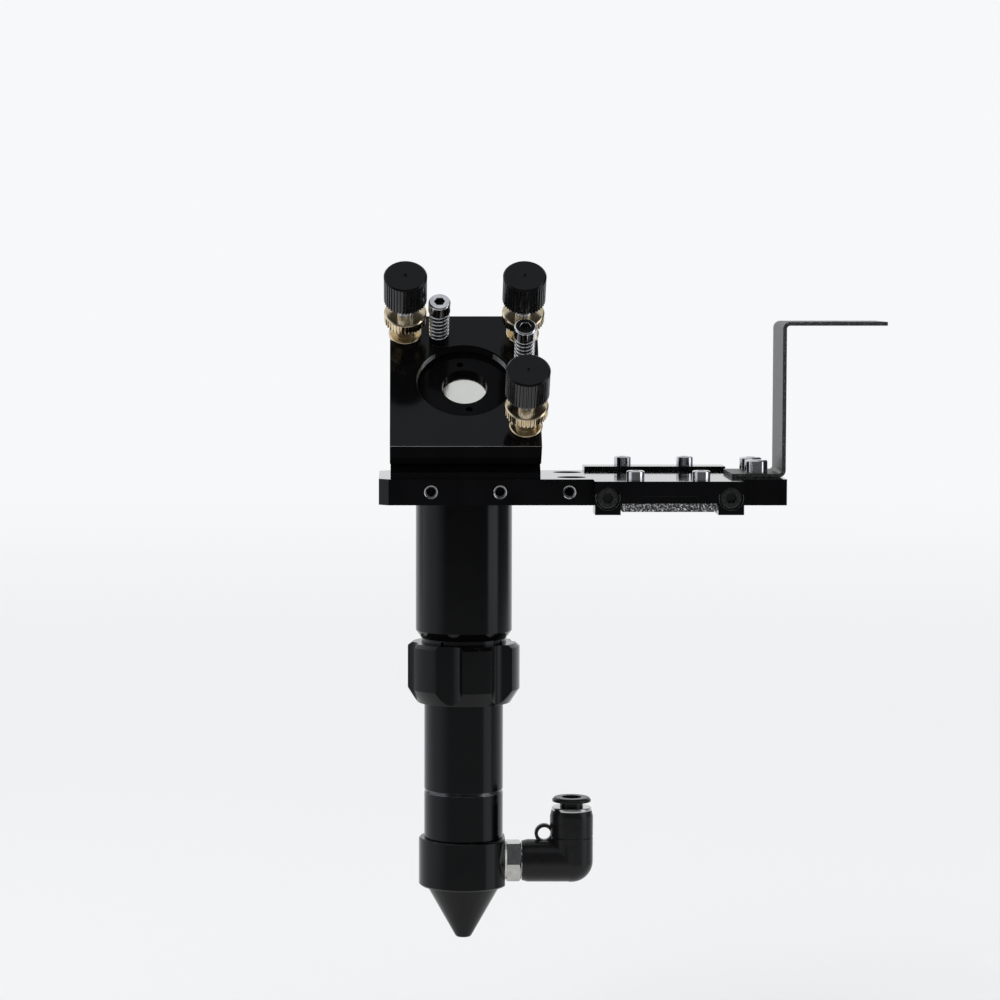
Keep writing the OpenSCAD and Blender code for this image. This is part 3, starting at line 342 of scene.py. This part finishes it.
def turn_hexagon(form):
    """Turns the hexagon about the fitting's axis and draws it in to its narrower size."""
    axis_z = centre_of("fitting_stem").z
    turn = Matrix.Rotation(HEX_TURN, 4, "X") @ Matrix.Scale(HEX_SCALE, 4)
    for vert in form.verts:
        arm = Vector((0.0, vert.co.y, vert.co.z - axis_z))
        if arm.length > HEX_INNER_R:
            arm = turn @ arm
            vert.co.y = arm.y
            vert.co.z = axis_z + arm.z


WELD = 0.002 * MM
FLAT = math.radians(1.0)
SHARP = math.radians(28)
SMOOTH_BEVEL = math.radians(40)
EDGE_SEGMENTS = 2
HEAD_ROUND = 0.8 * MM
HEAD_SEGMENTS = 4
HEAD_FACE_DEPTH = 0.02 * MM
RIM_EDGE_MOST = 1.0 * MM


def round_edges(form, width, segments, chosen=lambda edge: True):
    """Rounds the sharp edges of a form that are chosen."""
    sharp = [e for e in form.edges if len(e.link_faces) == 2 and e.calc_face_angle(0.0) > SHARP and chosen(e)]
    bmesh.ops.bevel(
        form, geom=sharp, offset=width, segments=segments, profile=0.5, affect="EDGES", clamp_overlap=True
    )


def round_heads(form):
    """Rounds the outer rims of the clamp bar screws' heads, whose edges are shorter than a socket's."""
    outer = max(abs(v.co.y) for v in form.verts) - HEAD_FACE_DEPTH

    def on_rim(edge):
        return edge.calc_length() < RIM_EDGE_MOST and all(abs(v.co.y) > outer for v in edge.verts)

    round_edges(form, HEAD_ROUND, HEAD_SEGMENTS, on_rim)


def soften(node, width):
    """Stands in for a node with its sharp edges rounded."""
    mesh = frame["nodes"][node].data.copy()
    form = bmesh.new()
    form.from_mesh(mesh)
    bmesh.ops.remove_doubles(form, verts=form.verts, dist=WELD)
    bmesh.ops.dissolve_limit(form, angle_limit=FLAT, verts=form.verts, edges=form.edges)
    if node in ("fitting_stem", "fitting_seal"):
        turn_hexagon(form)
    if node == "clamp_bar_screws":
        round_heads(form)
    round_edges(form, width, EDGE_SEGMENTS)
    form.to_mesh(mesh)
    form.free()
    smooth_below(mesh, SMOOTH_BEVEL)
    piece = add_piece(node + "_rounded", mesh, node, finish_of(node))
    flat_faces = piece.modifiers.new("flat_faces", "WEIGHTED_NORMAL")
    flat_faces.keep_sharp = True
    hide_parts(node)
    return piece


# Width of the rounding on each node's edges, in millimetres
EDGE_WIDTH = {
    "base_plate": 0.3, "mirror_housing": 0.35, "mirror_plate": 0.3, "mirror_retaining_ring": 0.15,
    "front_clamp_bar": 0.25, "rear_clamp_bar": 0.25, "front_clamp_strip": 0.15, "rear_clamp_strip": 0.15,
    "upper_tube": 0.25, "focus_lock_nut": 0.2, "lens_tube": 0.25, "lens_barrel": 0.25, "nozzle": 0.3,
    "cable_bracket": 0.15, "elbow_body": 0.2, "release_button": 0.15, "elbow_collar": 0.1,
    "fitting_stem": 0.12, "fitting_seal": 0.05,
    "adjuster_bushings": 0.12, "clamp_bar_screws": 0.15, "clamp_strip_screws": 0.12, "bracket_screws": 0.15,
    "spring_screws": 0.15, "housing_screws": 0.15,
    "upper_left_knob": 0.07, "upper_right_knob": 0.07, "lower_knob": 0.07,
    "upper_left_lock_nut": 0.07, "upper_right_lock_nut": 0.07, "lower_lock_nut": 0.07,
}

rounded = {name: soften(name, width * MM) for name, width in EDGE_WIDTH.items()}


# Springs and threads


def sweep(rings):
    """Closed mesh through rings of points, each ring joined to the next."""
    count = len(rings[0])
    points = [p for ring in rings for p in ring]
    faces = []
    for i in range(len(rings) - 1):
        for j in range(count):
            a = i * count + j
            b = i * count + (j + 1) % count
            faces.append((a, b, b + count, a + count))
    faces.append(tuple(reversed(range(count))))
    faces.append(tuple(range((len(rings) - 1) * count, len(rings) * count)))
    mesh = bpy.data.meshes.new("sweep")
    mesh.from_pydata(points, [], faces)
    mesh.update()
    return mesh


def helix(radius, pitch, turns, section, steps=48, place=Matrix()):
    """Rings of a section swept up a helix. The section is a list of (outwards, along) points."""
    rings = []
    for i in range(int(turns * steps) + 1):
        turn = 2 * math.pi * i / steps
        rise = pitch * i / steps
        rings.append([
            place @ Vector(((radius + out) * math.cos(turn), (radius + out) * math.sin(turn), rise + along))
            for out, along in section
        ])
    return rings


def disc_section(diameter, sides=12):
    return [
        (diameter / 2 * math.cos(2 * math.pi * i / sides), diameter / 2 * math.sin(2 * math.pi * i / sides))
        for i in range(sides)
    ]


def local_box(node):
    """Lowest and highest corner of a node in the mirror frame."""
    local = [TO_MIRROR @ v.co for v in frame["nodes"][node].data.vertices]
    low = Vector(min(p[k] for p in local) for k in range(3))
    high = Vector(max(p[k] for p in local) for k in range(3))
    return low, high


SPRING_WIRE = 0.8 * MM
SPRING_TURNS = 7
SPRING_PLAY = 0.05 * MM
SMOOTH_WIRE = math.radians(60)
MIRROR_UP = MIRROR_FRAME.to_3x3() @ Vector((0.0, 0.0, 1.0))
tilt = next(j for j in frame["record"]["behaviour"]["joints"] if j["name"] == "mirror_tilt")
most_tilt = math.radians(tilt["range_deg"][1])


def rise_at_full_tilt(point):
    """How far the mirror plate lifts at a point when it is tilted all the way."""
    arm = point - Vector(tilt["pos_m"])
    return Vector(tilt["axis"]).cross(arm).dot(MIRROR_UP) * most_tilt


for spring in ("upper_spring", "side_spring"):
    low, high = local_box(spring)
    coil_r = (high.x - low.x - SPRING_WIRE) / 2
    middle = (low + high) / 2
    foot = MIRROR_FRAME @ Matrix.Translation((middle.x, middle.y, low.z + SPRING_WIRE / 2))
    rise = (high.z - low.z - SPRING_WIRE) / SPRING_TURNS
    mesh = sweep(helix(coil_r, rise, SPRING_TURNS, disc_section(SPRING_WIRE), place=foot))
    smooth_below(mesh, SMOOTH_WIRE)
    piece = add_piece(spring + "_coil", mesh, spring, finish_of(spring))
    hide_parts(spring)
    lift = rise_at_full_tilt(foot.translation) + coil_r * most_tilt + SPRING_PLAY
    if lift > 0:
        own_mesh(piece)


def thread_ridge(depth, width):
    """Triangle that stands inwards from a bore, its foot sunk into the wall."""
    return [(0.2 * depth, -width / 2), (-depth, 0.0), (0.2 * depth, width / 2)]


# Thread in the recess above the retaining ring
ring_low, ring_high = local_box("mirror_retaining_ring")
plate_low, plate_high = local_box("mirror_plate")
RECESS_PITCH = 0.75 * MM
RECESS_RIDGE = thread_ridge(0.28 * MM, 0.6 * MM)
RING_PLAY = 0.05 * MM
recess_r = (ring_high.x - ring_low.x) / 2 + RING_PLAY
recess_turns = (plate_high.z - ring_high.z) / RECESS_PITCH - 1.0
recess_foot = MIRROR_FRAME @ Matrix.Translation((0.0, 0.0, ring_high.z + 0.5 * RECESS_PITCH))
recess = sweep(helix(recess_r, RECESS_PITCH, recess_turns, RECESS_RIDGE, steps=96, place=recess_foot))
add_piece("recess_thread", recess, "mirror_plate", FINISH["black_anodised"])

# Threads in the tapped holes of the front edge
EDGE_HOLE_PITCH = 21.2 * MM
EDGE_HOLE_Z = 4 * MM
EDGE_HOLE_R = 1.65 * MM
EDGE_HOLES = [(BEAM.x + (i - 0.5) * EDGE_HOLE_PITCH, EDGE_HOLE_Z) for i in range(3)]
TAP_PITCH = 0.7 * MM
TAP_TURNS = 8
TAP_RIDGE = thread_ridge(0.22 * MM, 0.55 * MM)
plate_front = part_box("base_plate")[0][1]
for number, (x, z) in enumerate(EDGE_HOLES):
    mouth = Matrix.Translation((x, plate_front + TAP_PITCH, z)) @ Matrix.Rotation(math.radians(-90), 4, "X")
    tap = sweep(helix(EDGE_HOLE_R, TAP_PITCH, TAP_TURNS, TAP_RIDGE, place=mouth))
    add_piece("edge_thread_%d" % (number + 1), tap, "base_plate", BARE_ALUMINIUM_AND_HIGHLIGHT)


SPINDLES = ("upper_left", "upper_right", "lower")
SPINDLE_PITCH = 0.5 * MM
SPINDLE_DEPTH = 0.22 * MM
SPINDLE_SIDES = 32
SPINDLE_STEPS = 80
BALL_TURNS = (6, 20, 35, 50, 65, 80)
SMOOTH_THREAD = math.radians(70)


def threaded_spindle(side):
    """Spindle with a ball end below and a fine thread in the gap between lock nut and knob."""
    node = side + "_spindle"
    low, high = local_box(node)
    gap_low = local_box(side + "_lock_nut")[1].z
    gap_high = local_box(side + "_knob")[0].z
    radius = (high.x - low.x) / 2
    ball = [low.z + radius * (1 - math.cos(math.radians(a))) for a in BALL_TURNS]
    fine = [gap_low + (gap_high - gap_low) * i / SPINDLE_STEPS for i in range(SPINDLE_STEPS + 1)]
    rings = []
    for z in ball + [low.z + radius] + fine + [high.z]:
        plain = math.sqrt(max(radius ** 2 - max(low.z + radius - z, 0.0) ** 2, 0.0))
        ring = []
        for j in range(SPINDLE_SIDES):
            turn = j / SPINDLE_SIDES
            wave = abs((z / SPINDLE_PITCH - turn) % 1.0 - 0.5) * 2
            r = plain - SPINDLE_DEPTH * wave * (gap_low < z < gap_high)
            angle = 2 * math.pi * turn
            ring.append(MIRROR_FRAME @ Vector((
                (low.x + high.x) / 2 + r * math.cos(angle), (low.y + high.y) / 2 + r * math.sin(angle), z,
            )))
        rings.append(ring)
    mesh = sweep(rings)
    smooth_below(mesh, SMOOTH_THREAD)
    piece = add_piece(node + "_thread", mesh, node, finish_of(node))
    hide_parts(node)


for side in SPINDLES:
    threaded_spindle(side)


# Bare faces, painted highlights and painted shade


def repaint(mesh, material, chosen):
    """Gives another material to the faces of a mesh that are chosen by middle and normal."""
    mesh.materials.append(material)
    for face in mesh.polygons:
        if chosen(face.center, face.normal):
            face.material_index = len(mesh.materials) - 1


# Depth below which a face is no longer part of the flat face around it
SKIN = 0.01 * MM
EDGE_HOLE_RIM = 0.5 * MM
EDGE_HOLE_SHOWN = 1.2 * MM
BEVEL_REACH = 0.35 * MM


def in_edge_hole(middle, normal):
    near = any(math.hypot(middle.x - x, middle.z - z) < EDGE_HOLE_R + EDGE_HOLE_RIM for x, z in EDGE_HOLES)
    return near and SKIN < middle.y - plate_front < EDGE_HOLE_SHOWN


# Bevel at the recess's mouth, which gets a painted highlight.
def on_recess_mouth(middle, normal):
    place = TO_MIRROR @ middle
    shallow = SKIN < plate_high.z - place.z < BEVEL_REACH
    return shallow and abs(math.hypot(place.x, place.y) - recess_r) < BEVEL_REACH


def on_lower_edge(middle, normal):
    """On the bevel along the mirror plate's lower edge, which faces the front and gets a painted highlight.
    """
    place = TO_MIRROR @ middle
    return normal.y < -0.9 and place.y - plate_low.y < BEVEL_REACH and plate_high.z - place.z < BEVEL_REACH


def looks_up(middle, normal):
    return normal.z > 0.9


def looks_down(middle, normal):
    return normal.z < -0.3


def on_grip(middle, normal):
    """On a knob's ridged side, not on its top, which gets a painted sheen."""
    return (TO_MIRROR.to_3x3() @ normal).z < 0.5


def on_thread_side(middle, normal):
    """On the left and right of the recess thread, which get a painted highlight."""
    return abs((TO_MIRROR @ middle).x) > 0.6 * recess_r


BARREL_LIP_R = 11.6 * MM


# Upward-facing lip of the lens barrel, which gets a painted highlight.
def on_barrel_lip(middle, normal):
    return normal.z > 0.2 and math.hypot(middle.x - BEAM.x, middle.y) > BARREL_LIP_R


# Sockets of the spring screws, and their shanks inside the coils, darkened with black oxide as painted shade
SOCKET_R = 1.6 * MM
SOCKET_RIM = 0.25 * MM
SHANK_GAP = 0.2 * MM
spring_top = local_box("upper_spring")[1].z
screws_top = local_box("spring_screws")[1].z
SPRING_AXES = [(low + high) / 2 for low, high in (local_box("upper_spring"), local_box("side_spring"))]


def shank_in_painted_shade(middle, normal):
    return (TO_MIRROR @ middle).z < spring_top - SHANK_GAP


def socket_in_painted_shade(middle, normal):
    place = TO_MIRROR @ middle
    return place.z < screws_top - SOCKET_RIM and any(
        math.hypot(place.x - axis.x, place.y - axis.y) < SOCKET_R for axis in SPRING_AXES
    )


# Lower halves of the counterbores' mouths in the clamp bars, which get a painted highlight
BARS = ("front_clamp_bar", "rear_clamp_bar")
BAR_HEAD_R = 3.5 * MM
BAR_BORE_R = 3.65 * MM
BAR_BEVEL = 0.3 * MM
bar_screws_low, bar_screws_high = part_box("clamp_bar_screws")
BAR_BORES = [
    (x, centre_of(bar).z)
    for x in (bar_screws_low[0] + BAR_HEAD_R, bar_screws_high[0] - BAR_HEAD_R)
    for bar in BARS
]


def on_bore_mouth(middle, normal):
    slanted = 0.15 < abs(normal.y) < 0.98
    return slanted and any(
        middle.z < z and abs(math.hypot(middle.x - x, middle.z - z) - BAR_BORE_R) < BAR_BEVEL
        for x, z in BAR_BORES
    )


repaint(rounded["base_plate"].data, FINISH["lapped_anodised"], looks_up)
repaint(rounded["base_plate"].data, BARE_ALUMINIUM_AND_HIGHLIGHT, in_edge_hole)
for bar in BARS:
    repaint(rounded[bar].data, FINISH["lapped_anodised"], looks_up)
    # Painted highlight on the lower halves of the counterbore mouths.
    repaint(rounded[bar].data, BARE_ALUMINIUM_AND_HIGHLIGHT, on_bore_mouth)
# Painted shade on the mirror plate's faces that look down.
repaint(rounded["mirror_plate"].data, FINISH["painted_shade_anodised"], looks_down)
# Painted highlight on the bevel at the recess's mouth.
repaint(rounded["mirror_plate"].data, PAINTED_HIGHLIGHT_EDGE, on_recess_mouth)
# Painted highlight on the mirror plate's front-facing lower bevel.
repaint(rounded["mirror_plate"].data, BARE_ALUMINIUM_AND_HIGHLIGHT, on_lower_edge)
# Painted highlight on the left and right flanks of the recess thread.
repaint(recess, PAINTED_HIGHLIGHT_EDGE, on_thread_side)
# Painted shade on the spring screws' shanks inside the coils and in their sockets.
repaint(rounded["spring_screws"].data, FINISH["black_steel"], shank_in_painted_shade)
repaint(rounded["spring_screws"].data, FINISH["black_steel"], socket_in_painted_shade)
# Painted highlight on the lens barrel's upward-facing lip.
repaint(rounded["lens_barrel"].data, PAINTED_HIGHLIGHT_EDGE, on_barrel_lip)
# Painted sheen on the knobs' ridged sides.
for side in SPINDLES:
    repaint(rounded[side + "_knob"].data, FINISH["knob_grip_painted_sheen"], on_grip)


# Remaining nodes keep their form and take their finish

for name, obj in frame["nodes"].items():
    if name in EDGE_WIDTH or name.endswith(("_spring", "_spindle")):
        continue
    obj.data.materials.clear()
    obj.data.materials.append(finish_of(name))


# Camera

PHOTO_LENS = 109.4
SENSOR_WIDTH = 36.0
PHOTO_DISTANCE = 950 * MM
CAMERA_HEIGHT = 70.3 * MM
CAMERA_SIDE = -21 * MM
PITCH = math.radians(4.23)
VANISHING_SHIFT = 0.103

camera_data = bpy.data.cameras.new("camera")
camera_data.lens = PHOTO_LENS
camera_data.sensor_width = SENSOR_WIDTH
camera_data.shift_x = VANISHING_SHIFT
camera = bpy.data.objects.new("camera", camera_data)
camera.location = (BEAM.x + CAMERA_SIDE, -PHOTO_DISTANCE, CAMERA_HEIGHT)
camera.rotation_euler = (math.pi / 2 - PITCH, 0.0, 0.0)
bpy.context.scene.collection.objects.link(camera)
bpy.context.scene.camera = camera


# Studio

FLOOR_DROP = 60 * MM
FLOOR_RADIUS = 9.0
FADE_START = 0.5
FADE_END = 3.0


def floor_material(sky):
    """Pale floor that keeps the shadow near the object and meets the sky far away."""
    shader = Shader("floor", grey(0.9), roughness=0.9)
    far = shader.nodes.new("ShaderNodeVectorMath")
    far.operation = "LENGTH"
    shader.links.new(shader.place, far.inputs[0])
    fade = shader.nodes.new("ShaderNodeMapRange")
    fade.interpolation_type = "SMOOTHSTEP"
    fade.inputs["From Min"].default_value = FADE_START
    fade.inputs["From Max"].default_value = FADE_END
    shader.links.new(far.outputs["Value"], fade.inputs["Value"])
    glow = shader.nodes.new("ShaderNodeEmission")
    glow.inputs["Color"].default_value = (*sky, 1.0)
    mix = shader.nodes.new("ShaderNodeMixShader")
    shader.links.new(fade.outputs["Result"], mix.inputs["Fac"])
    shader.links.new(shader.bsdf.outputs["BSDF"], mix.inputs[1])
    shader.links.new(glow.outputs["Emission"], mix.inputs[2])
    shader.links.new(mix.outputs["Shader"], shader.nodes["Material Output"].inputs["Surface"])
    return shader.material


def add_floor(sky):
    bpy.ops.mesh.primitive_circle_add(
        vertices=96, radius=FLOOR_RADIUS, fill_type="NGON",
        location=(BEAM.x, 0.0, cad_box[0].z - FLOOR_DROP),
    )
    floor = bpy.context.object
    floor.name = "floor"
    floor.data.materials.append(floor_material(sky))


# Brightness of the light tent around the object: (turn from the front, level), to the right is positive
TENT_RADIUS = 1.5
TENT_TOP = 1.8
TENT_CLEAR = 0.3
TENT_COVER_GAP = 1 * MM
TENT_STRENGTH = 2.0
TENT_WALL = [
    (-140, 0.9), (-122, 0.5), (-116, 1.0), (-72, 0.9), (-44, 0.1),
    (57, 0.1), (61, 1.8), (84, 1.7), (89, 0.16), (126, 0.16), (138, 0.9),
]
TENT_FLOOR = [(-140, 0.9), (-72, 0.9), (-44, 0.42), (57, 0.42), (61, 1.2), (84, 1.2), (89, 0.4), (138, 0.9)]
TENT_ROOF = 0.66
TENT_TINT = (0.95, 0.99, 1.06)


def tent_material(name, stops):
    """Glow that depends on the direction around the tent."""
    shader = Shader(name, grey(0.0))
    around = shader.nodes.new("ShaderNodeTexGradient")
    around.gradient_type = "RADIAL"
    shader.links.new(shader.place, around.inputs["Vector"])
    glow = shader.nodes.new("ShaderNodeEmission")
    glow.inputs["Strength"].default_value = TENT_STRENGTH
    levels = [
        (0.5 + turn / 360, tuple(level / TENT_STRENGTH * tint for tint in TENT_TINT)) for turn, level in stops
    ]
    shader.links.new(shader.ramp(around.outputs["Fac"], levels), glow.inputs["Color"])
    shader.links.new(glow.outputs["Emission"], shader.nodes["Material Output"].inputs["Surface"])
    return shader.material


def add_tent_card(name, points, faces, stops):
    """Card that shapes reflections only and stays out of the picture. Its +X is the front."""
    mesh = bpy.data.meshes.new(name)
    mesh.from_pydata(points, [], faces)
    mesh.materials.append(tent_material(name, stops))
    card = bpy.data.objects.new(name, mesh)
    card.location = (BEAM.x, 0.0, 0.0)
    card.rotation_euler = (0.0, 0.0, -math.pi / 2)
    card.visible_camera = False
    card.visible_diffuse = False
    card.visible_shadow = False
    bpy.context.scene.collection.objects.link(card)


def tent_strip(inner, outer):
    """Strip of faces around the front between two edges, each a (radius, height)."""
    start, end = TENT_WALL[0][0], TENT_WALL[-1][0]
    steps = 60
    points = []
    for i in range(steps + 1):
        turn = math.radians(start + (end - start) * i / steps)
        for radius, z in (inner, outer):
            points.append((radius * math.cos(turn), radius * math.sin(turn), z))
    faces = [(2 * i, 2 * i + 2, 2 * i + 3, 2 * i + 1) for i in range(steps)]
    return points, faces


def add_tent(floor_z):
    add_tent_card("tent_wall", *tent_strip((TENT_RADIUS, floor_z), (TENT_RADIUS, TENT_TOP)), TENT_WALL)
    cover_z = floor_z + TENT_COVER_GAP
    add_tent_card("tent_floor", *tent_strip((TENT_CLEAR, cover_z), (TENT_RADIUS, cover_z)), TENT_FLOOR)
    corners = [(-1, -1), (1, -1), (1, 1), (-1, 1)]
    roof = [(TENT_RADIUS * x, TENT_RADIUS * y, TENT_TOP) for x, y in corners]
    add_tent_card("tent_roof", roof, [(0, 1, 2, 3)], [(-180, TENT_ROOF), (180, TENT_ROOF)])


KEY_PLACE = (BEAM.x - 0.5, -0.8, 0.9)
KEY_AIM = (BEAM.x + 20 * MM, 0.0, -20 * MM)
KEY_SIZE = 0.5
KEY_POWER = 2.5


def add_softbox(name, place, target, size, power):
    """Lamp that lights the object and casts its shadow, kept out of reflections."""
    light = bpy.data.lights.new(name, "AREA")
    light.shape = "RECTANGLE"
    light.size = size
    light.size_y = size
    light.energy = power
    lamp = bpy.data.objects.new(name, light)
    lamp.location = place
    lamp.rotation_euler = (Vector(target) - Vector(place)).to_track_quat("-Z", "Y").to_euler()
    lamp.visible_glossy = False
    bpy.context.scene.collection.objects.link(lamp)


SKY = (0.93, 0.94, 0.95)
world = bpy.data.worlds.new("studio")
bpy.context.scene.world = world
world.use_nodes = True
world.node_tree.nodes["Background"].inputs["Color"].default_value = (*SKY, 1.0)
world.node_tree.nodes["Background"].inputs["Strength"].default_value = 1.0

add_floor(SKY)
add_tent(cad_box[0].z - FLOOR_DROP)
add_softbox("key_softbox", KEY_PLACE, KEY_AIM, KEY_SIZE, KEY_POWER)

bpy.context.scene.view_settings.view_transform = "Standard"
